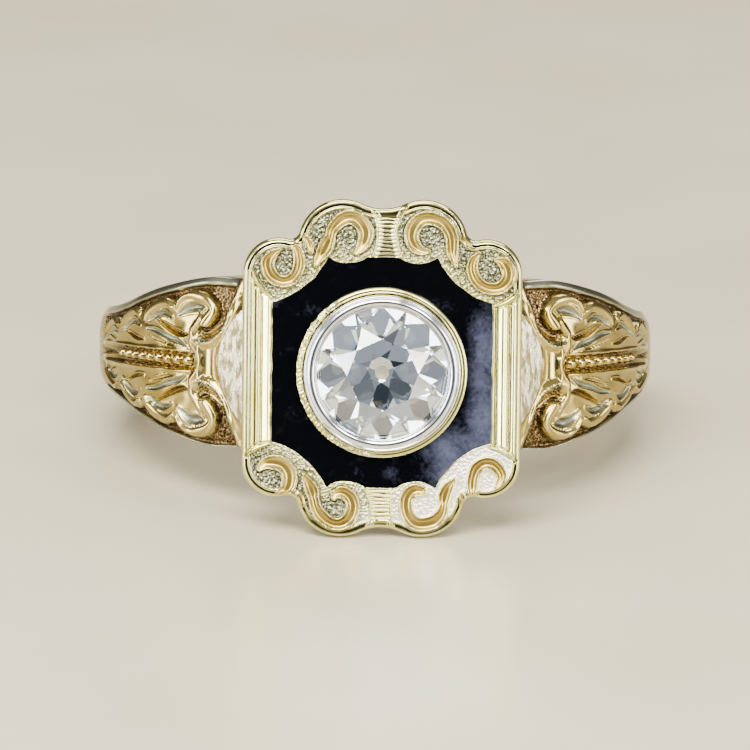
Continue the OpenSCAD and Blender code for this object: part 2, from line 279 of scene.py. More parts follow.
def outline_quarter():
    """A quarter of the scalloped outline, from its right side to its top: u, v and the outward normal."""
    corner, bump = np.array([SIDE_U - CORNER_R, CORNER_V]), np.array([BUMP_U, BUMP_V])
    notch = touching(bump, BUMP_R, corner, CORNER_R, NOTCH_R)
    valley = touching(np.array([-BUMP_U, BUMP_V]), BUMP_R, bump, BUMP_R, VALLEY_R)
    arcs = [
        (corner, CORNER_R, 1, 0, heading(corner, notch)),
        (notch, NOTCH_R, -1, heading(notch, corner), heading(notch, bump)),
        (bump, BUMP_R, 1, heading(bump, notch), heading(bump, valley)),
        (valley, VALLEY_R, -1, heading(valley, bump), -math.pi / 2),
    ]
    side = np.linspace(0, CORNER_V, SIDE_POINTS, endpoint=False)
    points = [np.stack([np.full(SIDE_POINTS, SIDE_U), side], -1)]
    normals = [np.tile([1.0, 0.0], (SIDE_POINTS, 1))]
    for centre, radius, out, start, end in arcs:
        angle = np.linspace(start, end, ARC_POINTS, endpoint=False)
        way = np.stack([np.cos(angle), np.sin(angle)], -1)
        points.append(centre + radius * way)
        normals.append(out * way)
    points.append(np.array([[0, valley[1] - VALLEY_R]]))
    normals.append(np.array([[0.0, 1.0]]))
    return np.hstack([np.vstack(points), np.vstack(normals)])


def outline(count):
    """Points of the whole outline and their outward normals, denser on the bumps than by the bars."""
    quarter = outline_quarter()
    upper = np.vstack([quarter, (quarter * [-1, 1, -1, 1])[-2::-1]])
    whole = np.vstack([upper, -upper[1:]])
    step = np.hypot(*np.diff(whole[:, :2], axis=0).T)
    step[np.abs(whole[1:, 1]) < BARS_HALF] *= BARS_SHARE
    length = np.r_[0, np.cumsum(step)]
    even = np.linspace(0, length[-1], count, endpoint=False)
    columns = [np.interp(even, length, whole[:, k]) for k in range(4)]
    return np.stack(columns[:2], -1), np.stack(columns[2:], -1)


def to_field(u, v):
    """Distance inside the enamel field, less than 0 on the gold."""
    up = np.abs(v - FITTED_V)
    far = np.minimum(FIELD_U - np.abs(u), FIELD_V - up)
    for cu, cv, r in FIELD_CUTS:
        far = np.minimum(far, np.hypot(np.abs(u) - cu, up - cv) - r)
    return far + 0.018 * wander(u, v, 0.35, 2.0)


def field_edge(low, high, at):
    """Where rays meet the edge of the enamel field, between two distances. at gives their points."""
    for _ in range(BISECTIONS):
        middle = (low + high) / 2
        enamel = to_field(*at(middle)) > 0
        low, high = np.where(enamel, middle, low), np.where(enamel, high, middle)
    return high


# Scrolls of the face, each a gouged channel with raised edges: u, v and half width along it
SCROLLS = {
    "upper_left_large": [
        (-1.08, 4.41, 0.01), (-0.89, 4.6, 0.11), (-0.71, 4.9, 0.21), (-0.67, 5.25, 0.25),
        (-0.86, 5.58, 0.235), (-1.17, 5.78, 0.215), (-1.48, 5.76, 0.215), (-1.75, 5.57, 0.195),
        (-1.97, 5.29, 0.165), (-2.03, 5.02, 0.15), (-2.14, 4.78, 0.23), (-2.24, 4.55, 0.22),
        (-2.41, 4.28, 0.15), (-2.58, 3.93, 0.01),
    ],
    "upper_left_small": [
        (-3.94, 4.54, 0.01), (-4.19, 4.36, 0.115), (-4.39, 4.08, 0.2), (-4.37, 3.77, 0.195),
        (-4.19, 3.48, 0.195), (-3.86, 3.32, 0.165), (-3.54, 3.38, 0.165), (-3.31, 3.62, 0.165),
        (-3.2, 3.97, 0.175), (-3.23, 4.32, 0.155), (-3.33, 4.61, 0.1),
    ],
    "upper_right_large": [
        (1.72, 4.53, 0.03), (1.48, 4.54, 0.11), (1.23, 4.69, 0.185), (1.07, 5.02, 0.22),
        (1.14, 5.41, 0.235), (1.42, 5.72, 0.215), (1.79, 5.78, 0.2), (2.18, 5.66, 0.2),
        (2.46, 5.39, 0.195), (2.61, 5.02, 0.195), (2.63, 4.69, 0.185), (2.65, 4.39, 0.15),
        (2.79, 3.97, 0.01),
    ],
    "upper_right_small": [
        (3.65, 4.47, 0.015), (3.45, 4.16, 0.135), (3.4, 3.85, 0.165), (3.51, 3.52, 0.17),
        (3.76, 3.23, 0.17), (4.13, 3.11, 0.17), (4.5, 3.17, 0.185), (4.77, 3.46, 0.21),
        (4.79, 3.81, 0.225), (4.62, 4.08, 0.175), (4.34, 4.21, 0.045),
    ],
    "lower_left_small": [
        (-4.64, -3.86, 0.045), (-4.42, -3.65, 0.16), (-4.13, -3.6, 0.225), (-3.78, -3.69, 0.24),
        (-3.54, -3.96, 0.24), (-3.49, -4.29, 0.24), (-3.58, -4.6, 0.21), (-3.82, -4.74, 0.09),
    ],
    "lower_left_large": [
        (-2.93, -4.07, 0.015), (-2.78, -4.41, 0.15), (-2.63, -4.7, 0.2), (-2.56, -5.01, 0.16),
        (-2.45, -5.38, 0.175), (-2.2, -5.71, 0.195), (-1.85, -5.94, 0.175), (-1.48, -5.94, 0.185),
        (-1.17, -5.69, 0.215), (-1.05, -5.3, 0.215), (-1.17, -4.93, 0.2), (-1.46, -4.74, 0.185),
        (-1.71, -4.8, 0.125), (-1.79, -4.97, 0.04),
    ],
    "lower_right_large": [
        (1.58, -4.66, 0.13), (1.27, -4.64, 0.2), (1.03, -4.89, 0.215), (0.97, -5.26, 0.215),
        (1.07, -5.63, 0.215), (1.35, -5.9, 0.22), (1.72, -5.93, 0.22), (2.09, -5.81, 0.22),
        (2.34, -5.54, 0.185), (2.42, -5.23, 0.14), (2.44, -4.91, 0.21), (2.57, -4.56, 0.175),
        (2.8, -4.19, 0.015),
    ],
    "lower_right_small": [
        (3.51, -4.75, 0.12), (3.49, -4.49, 0.18), (3.53, -4.14, 0.18), (3.66, -3.8, 0.195),
        (3.94, -3.59, 0.19), (4.27, -3.61, 0.19), (4.54, -3.86, 0.175), (4.62, -4.16, 0.15),
        (4.44, -4.47, 0.04),
    ],
}
# Short cuts by the notches between the bumps
NOTCH_CUTS = [
    [(-2.97, 5.04, 0.02), (-2.82, 4.75, 0.1), (-2.73, 4.43, 0.03)],
    [(3.1, 5.29, 0.03), (3.21, 4.98, 0.07), (3.23, 4.71, 0.02)],
    [(3.08, -4.74, 0.02), (3.16, -4.93, 0.06), (3.14, -5.25, 0.02)],
    [(-3.16, -4.82, 0.02), (-3.05, -5.0, 0.05), (-2.98, -5.2, 0.02)],
]
# Leaves laid over the mitres at the ends of the side bars
MITRE_LEAVES = [
    [(-4.99, 3.73, 0.012), (-4.83, 3.34, 0.09), (-4.56, 2.99, 0.09), (-4.23, 2.68, 0.015)],
    [(4.29, 2.44, 0.015), (4.64, 2.56, 0.085), (5.0, 2.76, 0.12), (5.14, 2.96, 0.05)],
    [(-5.14, -3.37, 0.02), (-4.87, -3.14, 0.11), (-4.56, -2.98, 0.085), (-4.19, -2.86, 0.02)],
    [(4.15, -2.97, 0.02), (4.52, -3.05, 0.07), (4.87, -3.24, 0.07), (5.14, -3.48, 0.02)],
]
# Side bars: distance from the middle and height above the ground, for the left and for the right
BARS_LEFT = [
    (4.15, 0.03), (4.19, 0.07), (4.27, 0.105), (4.36, 0.145), (4.45, 0.105), (4.53, 0.07), (4.58, 0.04),
    (4.61, 0.02), (4.65, 0.06), (4.72, 0.12), (4.79, 0.115), (4.83, 0.05), (4.855, -0.02), (4.88, 0.06),
    (4.94, 0.11), (4.99, 0.09), (5.02, 0.05), (5.06, 0.09), (5.11, 0.08), (5.16, 0.02), (5.2, -0.03),
]
BARS_RIGHT = [
    (4.15, 0.03), (4.2, 0.09), (4.26, 0.11), (4.32, 0.06), (4.355, 0.01), (4.39, 0.04), (4.48, 0.1),
    (4.6, 0.15), (4.72, 0.1), (4.81, 0.05), (4.86, 0.02), (4.885, 0.0), (4.91, 0.04), (4.95, 0.09),
    (5.02, 0.12), (5.1, 0.09), (5.16, 0.03), (5.2, -0.03),
]
# Bridges between the large scrolls: height from the middle, then the left and the right edge
BRIDGE_TOP = [
    (4.2, -0.43, 0.72), (4.78, -0.27, 0.57), (5.33, -0.235, 0.51), (5.95, -0.37, 0.76),
    (6.4, -0.55, 1.0),
]
BRIDGE_LOW = [
    (4.4, -0.68, 0.46), (5.1, -0.42, 0.39), (5.65, -0.39, 0.41), (6.2, -0.55, 0.51), (6.5, -0.7, 0.6),
]
BRIDGE_FROM = 4.0
HATCH_STEP, HATCH_DEPTH = 0.145, 0.08
# The stipple is drawn a little coarser than the punch marks of the photo, so that it shows
STIPPLE, STIPPLE_H = 0.13, 0.05
RIDGE_H = 0.135
# Fine ridge round the face and the groove outside it, measured in from the outline
RIM_IN, RIM_GROOVE_IN = 0.32, 0.21


def bridged(face, u, v, inset, rows, side, level):
    """Lays a hatched bridge between two scrolls, with two fine ridges along each of its edges."""
    start, end = curve(rows, 1, np.abs(v)), curve(rows, 2, np.abs(v))
    across = np.minimum(u - start, end - u)
    hatch = 0.5 + 0.5 * np.cos(2 * math.pi * (v + 0.03 * wander(u, v, 0.3, 5.0)) / HATCH_STEP)
    flat = level - HATCH_DEPTH * hatch * ease(0.05, 0.12, across) * ease(0.3, 0.42, inset)
    second = 0.05 * crest(across - 0.15, 0.04)
    on = v * side > BRIDGE_FROM
    height = blend(face["height"], flat + second, np.where(on, ease(-0.02, 0.03, across), 0))
    face["height"] = np.where(on, np.maximum(height, 0.13 * crest(across, 0.05)), height)
    face["cover"] *= (1 - np.where(on, ease(-0.05, 0.0, across), 0))


def barred(face, u, v, leaf):
    """Lays the ribs of a side bar, up to the leaf over the mitre at one of its ends."""
    out = 1 if leaf[1][0] > 0 else -1
    line = sorted((abs(r[0]), abs(r[1])) for r in leaf)
    limit = np.interp(np.abs(u), [p[0] for p in line], [p[1] for p in line])
    mine = (u * out > 0) & (v * leaf[1][1] >= 0)
    bar = curve(BARS_RIGHT if out > 0 else BARS_LEFT, 1, np.abs(u))
    share = np.where(mine, ease(0.0, 0.05, limit - np.abs(v)) * ease(4.1, 4.16, np.abs(u)), 0)
    face["height"] = blend(face["height"], bar, share)
    face["cover"] *= (1 - share)


def gouged(face, x, y, rows, lip=RIDGE_H, depth=0.16, crest_half=0.055):
    """Carves a channel with raised edges. It isn't stippled, its hollow is tinted as a painted reflection,
    and a painted shadow line runs round it and just inside it.
    """
    q, half = to_stroke(x, y, rows)
    q = q - 0.03
    low = lip - np.minimum(depth, half * 0.8)
    t = np.clip(-q / half, 0, 1)
    bowl = lip - (lip - low) * (1 - (1 - t) ** 1.35)
    raised = lip * crest(np.maximum(q, 0), crest_half)
    face["height"] = np.where(q < 0, bowl, np.maximum(face["height"], raised))
    face["cover"] *= ease(-0.02, 0.06, q)
    face["hollow"] = np.maximum(face["hollow"], ease(0.1, 0.5, t))
    # Painted shadow lines: one just outside the raised edge, a fainter one just inside the channel
    line = np.maximum(crest(q - 0.085, 0.028), 0.7 * crest(q + 0.03, 0.022))
    face["line"] = np.maximum(face["line"] * ease(-0.02, 0.03, q), line)


def leaved(face, u, v, rows):
    """Lays a small folded leaf over a mitre, with a painted shadow line round it."""
    q, half = to_stroke(u, v, rows)
    leaf = 0.15 - 0.09 * np.clip(1 + q / half, 0, 1) ** 2
    beside = face["height"] - 0.05 * crest(q - 0.03, 0.03)
    face["height"] = np.where(q < 0, np.maximum(leaf, 0.04), beside)
    face["cover"] *= ease(0, 0.05, q)
    face["line"] = np.maximum(face["line"] * ease(-0.02, 0.03, q), 0.8 * crest(q - 0.03, 0.028))


def carved_face(u, v, inset):
    """Layers of the face: height above its ground, and how much is stippled, hollow or a painted shadow
    line.
    """
    swell = 0.012 * wander(u, v, 0.5, 1.0)
    face = {
        "height": swell + 0.08 * crest(inset - RIM_IN, 0.055) - 0.1 * crest(inset - RIM_GROOVE_IN, 0.055),
        "cover": ease(0.33, 0.39, inset),
        "hollow": np.zeros(u.shape),
        "line": np.zeros(u.shape),
    }
    bridged(face, u, v, inset, BRIDGE_TOP, 1, 0.012)
    bridged(face, u, v, inset, BRIDGE_LOW, -1, 0.035)
    for leaf in MITRE_LEAVES:
        barred(face, u, v, leaf)
    for rows in SCROLLS.values():
        gouged(face, u, v, rows)
    for rows in NOTCH_CUTS:
        gouged(face, u, v, rows, lip=0.11, depth=0.12, crest_half=0.03)
    for leaf in MITRE_LEAVES:
        leaved(face, u, v, leaf)
    return face


def dressed_face(u, v, inset, to_enamel):
    """Height of the face above its ground with its stipple, and the layers that the gold shows."""
    face = carved_face(u, v, inset)
    cover, hollow = face["cover"], face["hollow"]
    # The face falls away a little over the outer bumps
    h = face["height"] - 0.055 * ease(5.4, 6.1, np.abs(v))
    rim = ease(0, 0.07, to_enamel)
    # The lower right quarter is rubbed smooth, with a shallower stipple, and painted pale as a painted
    # reflection of the light; the rest is crisp
    crisp = ease(-1.5, 0.5, (-u + v) / 2 + 2.2)
    pits = ease(0.15, 0.55, scatter(u, v, STIPPLE, 1.0)) - 0.45
    h = h + STIPPLE_H * pits * cover * rim * (0.35 + 0.65 * crisp)
    h = np.maximum(h, -0.035) * rim + (1 - rim) * np.minimum(h, 0.03)
    # Painted dark below the ground where it isn't stippled or hollow, as dirt and painted shade; also a
    # painted shadow line along the groove outside the rim
    dirt_and_painted_shade = ease(0.0, -0.05, h) * (1 - cover) * (1 - ease(0.0, 0.3, hollow))
    crease = np.maximum(dirt_and_painted_shade, crest(inset - 0.2, 0.045))
    return h, {
        # The ground's painted shade: most over the upper left, none on the lower right quarter, less by
        # the enamel
        "ground": cover * rim * crisp * (0.62 + 0.38 * ease(0.15, 0.8, to_enamel)),
        "crease": np.maximum(crease, 0.75 * face["line"] * rim),
        "hollow": hollow * rim,
        "rubbed_and_painted_sheen": cover * rim * (1 - crisp),
    }


# Edge of the head from its foot to its face: inset from the outline, scale of width and height, height
EDGE_ROWS = [
    (0.3, 0.88, 0.56, FACE_W - 2.95), (0.3, 0.91, 0.7, FACE_W - 2.2), (0.3, 0.95, 0.86, FACE_W - 1.5),
    (0.29, 1, 0.97, FACE_W - 1.0), (0.22, 1, 1, FACE_W - 0.85), (0.09, 1, 1, FACE_W - 0.74),
    (0.02, 1, 1, FACE_W - 0.62), (0.003, 1, 1, FACE_W - 0.5), (0.008, 1, 1, FACE_W - 0.4),
    (0.03, 1, 1, FACE_W - 0.29), (0.07, 1, 1, FACE_W - 0.21), (0.115, 1, 1, FACE_W - 0.165),
]
FACE_INSET = 0.15
FACE_STEPS = 86
HEAD_COLUMNS = 940


def make_head():
    """Head of the ring, from its foot over its face and down into the enamel's field and the seat."""
    edge, normal = outline(HEAD_COLUMNS)
    rows = []
    for inset, scale_u, scale_v, w in EDGE_ROWS:
        p = (edge - inset * normal) * [scale_u, scale_v]
        rows.append(on_head(p[:, 0], p[:, 1], w))
    start = edge - FACE_INSET * normal
    to_edge = field_edge(np.zeros(HEAD_COLUMNS), np.ones(HEAD_COLUMNS), lambda k: start.T * k)
    scale = 1 + (to_edge - 1) * np.linspace(0, 1, FACE_STEPS + 1)[:, None]
    u, v = start[:, 0] * scale, start[:, 1] * scale
    length = np.linalg.norm(start, axis=1)
    slant = (start * normal).sum(1) / length
    inset = FACE_INSET + (1 - scale) * length * slant
    h, layers = dressed_face(u, v, inset, (scale - to_edge) * length)
    rows.extend(on_head(u, v, GROUND_W + h))
    for grow, w in ((0.0, ENAMEL_W - 0.03), (-0.02, ENAMEL_W - 0.2)):
        k = to_edge * (1 - grow / length)
        rows.append(on_head(start[:, 0] * k, start[:, 1] * k, w))
    angle = np.arctan2(start[:, 1], start[:, 0])
    foot_w = EDGE_ROWS[0][3]
    seat = [(SEAT_R, ENAMEL_W - 0.2), (SEAT_R, SEAT_W), (SEAT_HOLE_R, SEAT_W), (SEAT_HOLE_R, foot_w)]
    for radius, w in seat:
        rows.append(round_setting(angle, radius, w))
    points = np.stack(rows)
    first = len(EDGE_ROWS)
    whole = {name: np.zeros(points.shape[:2]) for name in layers}
    for name, values in layers.items():
        whole[name][first:first + FACE_STEPS + 1] = values
    return woven("head", points, whole)


# Carving of the shoulders, on a chart of degrees from the head and distance from the band's middle
S_LINE = [
    (28.2, 3.3, 0.02), (29.0, 3.1, 0.025), (30.2, 2.5, 0.03), (31.2, 2.05, 0.03), (32.4, 1.4, 0.03),
    (34.6, 0.92, 0.035), (37.3, 0.7, 0.035), (39.5, 0.76, 0.035), (40.4, 0.98, 0.035), (40.2, 1.22, 0.03),
    (39.3, 1.42, 0.03), (38.4, 1.68, 0.02),
]
BRACKET = [
    (40.3, 0.93, 0.03), (40.5, 0.68, 0.035), (39.2, 0.4, 0.035), (38.5, 0.14, 0.035),
    (38.4, -0.1, 0.035),
]
PANEL = [
    (10, -0.6), (38.4, -0.6), (38.4, 0), (38.9, 0.3), (40.5, 0.67), (40.2, 0.86), (39.0, 0.72),
    (37.3, 0.68), (34.6, 0.9), (32.4, 1.38), (31.2, 2.05), (30.2, 2.5), (29.0, 3.16), (28.0, 3.6),
    (10, 3.6),
]
LEAF = [
    (38.0, -0.4), (38.0, 0.3), (38.6, 0.8), (38.8, 1.15), (38.2, 1.3), (36.8, 1.27), (35.7, 1.4),
    (34.6, 1.66), (34.1, 1.98), (34.6, 2.28), (36.1, 2.56), (37.8, 2.75), (40.2, 2.78), (42.9, 2.66),
    (45.1, 2.4), (46.0, 2.22), (47.0, 2.34), (49.2, 2.42), (52.6, 2.24), (55.2, 1.93), (57.0, 1.84),
    (59.2, 1.97), (62.3, 1.75), (65.1, 1.42), (66.6, 1.26), (68.5, 1.42), (71.5, 1.3), (74.2, 0.95),
    (76.8, 0.5), (77.8, 0.1),
]
# Rolled edges of the lobes: angle, distance, half width in mm
ROLLS = [
    [(45.0, 2.02, 0.05), (44.0, 2.38, 0.13), (41.8, 2.57, 0.16), (39.4, 2.54, 0.19), (37.0, 2.42, 0.2),
     (35.5, 2.16, 0.2), (35.5, 1.92, 0.22), (36.4, 1.68, 0.26), (37.4, 1.48, 0.26), (38.2, 1.3, 0.12)],
    [(46.4, 2.0, 0.06), (48.3, 2.2, 0.17), (51.6, 2.08, 0.21), (54.2, 1.78, 0.21), (54.9, 1.45, 0.1)],
    [(57.9, 1.62, 0.06), (60.0, 1.76, 0.15), (63.0, 1.48, 0.18), (65.0, 1.1, 0.1)],
    [(67.2, 1.1, 0.05), (69.5, 1.24, 0.12), (72.5, 1.02, 0.13), (74.5, 0.7, 0.06)],
]
# Scoops between the veins, and the deep cuts: angle, distance, half width in mm
SCOOPS = [
    [(44.6, 1.72, 0.05), (42.8, 1.95, 0.17), (40.8, 2.08, 0.22), (38.8, 2.08, 0.16), (37.4, 2.12, 0.04)],
    [(46.4, 1.62, 0.04), (49.0, 1.74, 0.13), (51.6, 1.66, 0.15), (53.8, 1.42, 0.06)],
    [(57.0, 1.2, 0.04), (59.6, 1.36, 0.12), (62.4, 1.16, 0.12), (64.4, 0.88, 0.04)],
    [(67.0, 0.8, 0.03), (69.5, 0.9, 0.09), (72.0, 0.74, 0.08), (74.0, 0.55, 0.03)],
    [(42.2, 0.56, 0.05), (44.5, 0.74, 0.13), (47.5, 0.86, 0.12), (51.0, 1.06, 0.1), (54.5, 1.12, 0.04)],
]
CUTS = [
    [
        (52.8, 1.66, 0.02), (50.6, 1.5, 0.06), (48.0, 1.28, 0.11), (45.4, 1.1, 0.14),
        (43.0, 1.0, 0.12), (41.6, 1.02, 0.04),
    ],
    [(53.6, 0.86, 0.015), (50.0, 0.68, 0.05), (47.0, 0.58, 0.05), (44.8, 0.55, 0.02)],
    [(64.0, 0.98, 0.02), (61.0, 0.84, 0.07), (58.0, 0.7, 0.08), (55.6, 0.66, 0.03)],
    [(73.0, 0.72, 0.02), (70.5, 0.62, 0.05), (68.0, 0.54, 0.03)],
    [(46.8, 2.5, 0.05), (46.0, 2.2, 0.045), (45.1, 1.86, 0.015)],
    [(57.0, 2.1, 0.05), (57.6, 1.8, 0.04), (58.2, 1.5, 0.015)],
    [(66.8, 1.5, 0.04), (66.8, 1.2, 0.03), (66.9, 0.95, 0.01)],
]
POCKET = [
    (39.6, 1.26, 0.05), (38.4, 1.06, 0.1), (36.8, 1.0, 0.16), (35.0, 1.18, 0.17), (33.6, 1.46, 0.09),
]
# Where the smooth panel meets the raised rim of the carving: distance from the middle, angle
PANEL_RIM = [(0, 38.4), (0.3, 38.9), (0.67, 40.0), (0.9, 34.9), (1.38, 32.4), (2.05, 31.2), (3.2, 28.8)]
# Heights over the band's base, and depths of the cuts
LEAF_H, GROUND_H, GROOVE_H, RAIL_H = -0.04, -0.3, -0.27, -0.07
ROLL_H, SCOOP_DEPTH, CUT_DEPTH = 0.13, 0.13, 0.24
# Millimetres along the band for a degree round the head
DEG = 0.1955
BEAD_FROM, BEAD_STEP, BEAD_COUNT, BEAD_R = 42.2, 3.05, 9, 0.25
# Filed facet: its tip's angle, half its width, how far its edge bends back, and the plane that it lies in
FACET_TIP, FACET_HALF, FACET_LONG = 34.2, 1.95, 5.2
FACET_TURN, FACET_R = 45.2, 10.986
RIM_R = 11.31
# Angles between which the carving fades out
PLAIN_FROM, PLAIN_TO = 75, 83
# The carving below the middle is a little longer than the one above it
LOWER_STRETCH = 0.92


def band_half(a):
    """Half the band's width at an angle from the head."""
    return (BACK_W + curve(BAND_ROWS, SHARE, a) * (SHOULDER_W - BACK_W)) / 2


def band_radius(a):
    """Radius of the band's outside before it is carved."""
    return HOLE_R + BACK_T + curve(BAND_ROWS, RISE, a) - INSIDE


def in_mm(rows):
    """Chart rows with the angle as millimetres along the band."""
    return [(r[0] * DEG,) + tuple(r[1:]) for r in rows]


def panel_height(a, y, base):
    """Height over the base of the smooth panel by the head: a filed facet, then a hollow up to the rim."""
    edge = FACET_TIP - FACET_LONG * np.clip(y / FACET_HALF, 0, 1.25) ** 2
    rim_at = np.where(y < 0.7, 38.6, np.minimum(curve(PANEL_RIM, 1, y), 37.5))
    t = np.clip((a - edge) / np.maximum(rim_at - edge, 0.8), 0, 1)
    plane = FACET_R / np.cos(np.radians(FACET_TURN - np.minimum(a, edge)))
    r = plane + (RIM_R - plane) * t * t - 0.11 * 4 * t * (1 - t)
    near_side = ease(27.5, 24.0, a)
    return (r - base) * (1 - near_side), ease(0.4, -0.4, a - edge)


def on_chart(s, y, rows):
    """Distance outside a stroke of the chart, the share of the way into it, and its half width."""
    q, wide = to_stroke(s, y, in_mm(rows))
    return q, np.clip(-q / wide, 0, 1), wide


def leaf_surface(s, y):
    """Height of the leaf with its rolled lobes, scoops and cuts, and how much of it is scooped."""
    top = LEAF_H + 0.03 * wander(s, y, 0.5, 4.0)
    hollow = np.zeros(s.shape)
    for rows in ROLLS:
        q, t, _ = on_chart(s, y, rows)
        roll = LEAF_H + ROLL_H * np.sqrt(np.clip(1 - (1 - t) ** 2, 0, 1))
        top = np.maximum(top, np.where(q < 0, roll, -FAR))
    for rows in SCOOPS:
        q, t, wide = on_chart(s, y, rows)
        top = top - SCOOP_DEPTH * (1 - (1 - t) ** 2) * np.minimum(wide / 0.15, 1) + 0.03 * crest(q, 0.05)
        hollow = np.maximum(hollow, ease(0.0, 0.5, t))
    for rows in CUTS:
        q, t, wide = on_chart(s, y, rows)
        top = top - CUT_DEPTH * t * np.minimum(wide / 0.1, 1) ** 0.5 + 0.035 * crest(q, 0.04)
    return top + 0.05 * crest(y - 0.36, 0.09), hollow


def beaded(h, s, z):
    """Lays the row of beads down the middle of the shoulder, each a little smaller than the last."""
    for i in range(BEAD_COUNT):
        r = BEAD_R * 0.95**i
        d = np.hypot(s - (BEAD_FROM + BEAD_STEP * i) * DEG, z)
        dome = -0.22 + np.sqrt(np.clip(r * r - d * d, 0, None))
        h = np.where(d < r, np.maximum(h, dome), h)
    return h


def shoulder_relief(a, z):
    """Height of the carving over the band's base, and how much is stippled, filed flat or hollow."""
    y = np.abs(z) * np.where(z < 0, LOWER_STRETCH, 1)
    s = a * DEG
    half, base = band_half(a), band_radius(a)
    leaf = ease(-0.01, 0.09, inside(s, y, in_mm(LEAF)))
    top, hollow = leaf_surface(s, y)
    h = blend(GROUND_H + 0.02 * wander(s, y, 0.3, 9.0), top, leaf)
    rail = ease(-0.36, -0.28, y - half)
    h = blend(h, RAIL_H + 0.05 * crest(y - half + 0.16, 0.16), rail)
    groove = ease(0.36, 0.24, y) * ease(76, 66, a)
    h = beaded(blend(h, GROOVE_H, groove), s, z)
    pocket, t, _ = on_chart(s, y, POCKET)
    h = blend(h, -0.12 - 0.16 * t, ease(0.04, -0.03, pocket))
    panel, facet = panel_height(a, y, base)
    on_panel = ease(-0.05, 0.02, inside(s, y, in_mm(PANEL)))
    h = blend(h, panel, on_panel)
    for rows in (S_LINE, BRACKET):
        q, _, _ = on_chart(s, y, rows)
        h = np.maximum(h, 0.07 * crest(np.maximum(q, 0), 0.07) - FAR * (q > 0.14))
    # The carving fades out towards the plain back
    carved = ease(PLAIN_TO, PLAIN_FROM, a)
    cover = (1 - leaf) * (1 - rail) * (1 - groove) * (1 - ease(0.02, -0.05, pocket)) * (1 - on_panel)
    # The scoops and the rail count as hollow, which the gold tints as a painted reflection
    hollow = np.maximum(hollow * leaf, 0.8 * rail) * carved * (1 - on_panel)
    return h * carved, cover * carved, facet * on_panel, hollow


OUTER_STEPS, SIDE_STEPS, INNER_STEPS = 124, 3, 18
CARVED_FROM, CARVED_TO = 23.0, 80.0
CARVED_COLUMNS, HEAD_SIDE_COLUMNS, BACK_COLUMNS = 288, 26, 68
HOLE_ROUND = 0.08


def make_band():
    """Band with its carved shoulders: its outside, its lower side, its inside and its upper side."""
    carved = np.linspace(CARVED_FROM, CARVED_TO, CARVED_COLUMNS)
    middle = np.linspace(-CARVED_FROM, CARVED_FROM, HEAD_SIDE_COLUMNS)[1:-1]
    back = np.linspace(CARVED_TO, 360 - CARVED_TO, BACK_COLUMNS)[1:-1]
    turn = np.r_[middle, carved, back, 360 - carved[::-1]]
    a = np.abs((turn + 180) % 360 - 180)
    half = band_half(a)
    q = np.linspace(1, -1, OUTER_STEPS + 1)[:, None]
    z = q * half
    aa = np.broadcast_to(a, z.shape)
    h, cover, facet, hollow = shoulder_relief(aa, z)
    h = h + 0.04 * (ease(0.15, 0.6, scatter(aa * DEG, z, 0.12, 3.0)) - 0.5) * cover
    r = band_radius(aa) + h - EDGE_ROUND * q**4
    side_q = np.linspace(0, 1, SIDE_STEPS + 2)[1:-1, None]
    inner_z = np.linspace(-1, 1, INNER_STEPS)[:, None]
    inner_r = HOLE_R + HOLE_ROUND * np.clip((np.abs(inner_z) - 0.93) / 0.07, 0, 1) ** 2
    mouth_r = HOLE_R + HOLE_ROUND
    lower_r = r[-1] + (mouth_r - r[-1]) * side_q
    upper_r = r[0] + (mouth_r - r[0]) * side_q
    rows_r = np.vstack([r, lower_r, inner_r + 0 * a, upper_r[::-1]])
    rows_z = np.vstack([z, -half + 0 * side_q, inner_z * half, half + 0 * side_q])
    x, y = rows_r * np.sin(np.radians(turn)), -rows_r * np.cos(np.radians(turn))
    pad = np.zeros((len(rows_r) - len(z), len(a)))
    # The deep cuts are painted dark as dirt and painted shade, the stippled ground takes a painted shade
    # and the hollows a painted reflection
    layers = {"ground": cover, "crease": ease(-0.09, -0.25, h), "filed": facet, "hollow": hollow}
    whole = {name: np.vstack([values, pad]) for name, values in layers.items()}
    return woven("band", np.stack([x, y, rows_z], -1), whole, open_gallery)


def open_gallery(bm):
    """Opens the round hole behind the stone, through both faces of the band, and closes its wall."""
    bmesh.ops.recalc_face_normals(bm, faces=bm.faces)
    middle = placed(np.zeros(3))
    start = Vector(middle)
    out = Vector(placed(np.array([0.0, -1.0, 0.0])) - middle).normalized()
    radius = GALLERY_R * MM

    def aside(co):
        """How far a point lies out along the hole's axis, and its way from the axis."""
        along = (co - start).dot(out)
        return along, co - start - out * along

    gone = []
    for face in bm.faces:
        along, off = aside(face.calc_center_median())
        if along > 0 and off.length < radius:
            gone.append(face)
    bmesh.ops.delete(bm, geom=gone, context="FACES")
    edges = [e for e in bm.edges if e.is_boundary]
    for vert in {v for e in edges for v in e.verts}:
        _, off = aside(vert.co)
        vert.co = vert.co - off + off.normalized() * radius
    bmesh.ops.bridge_loops(bm, edges=edges)


def turned(name, profile, steps, wobble=None):
    """A ring turned round the head's axis from a closed profile of radius and height."""
    angle = np.linspace(0, 2 * math.pi, steps, endpoint=False)
    rows = []
    for radius, w in profile:
        push = 0 if wobble is None else wobble(angle, radius, w)
        rows.append(round_setting(angle, radius, w + push))
    return woven(name, np.stack(rows), {})


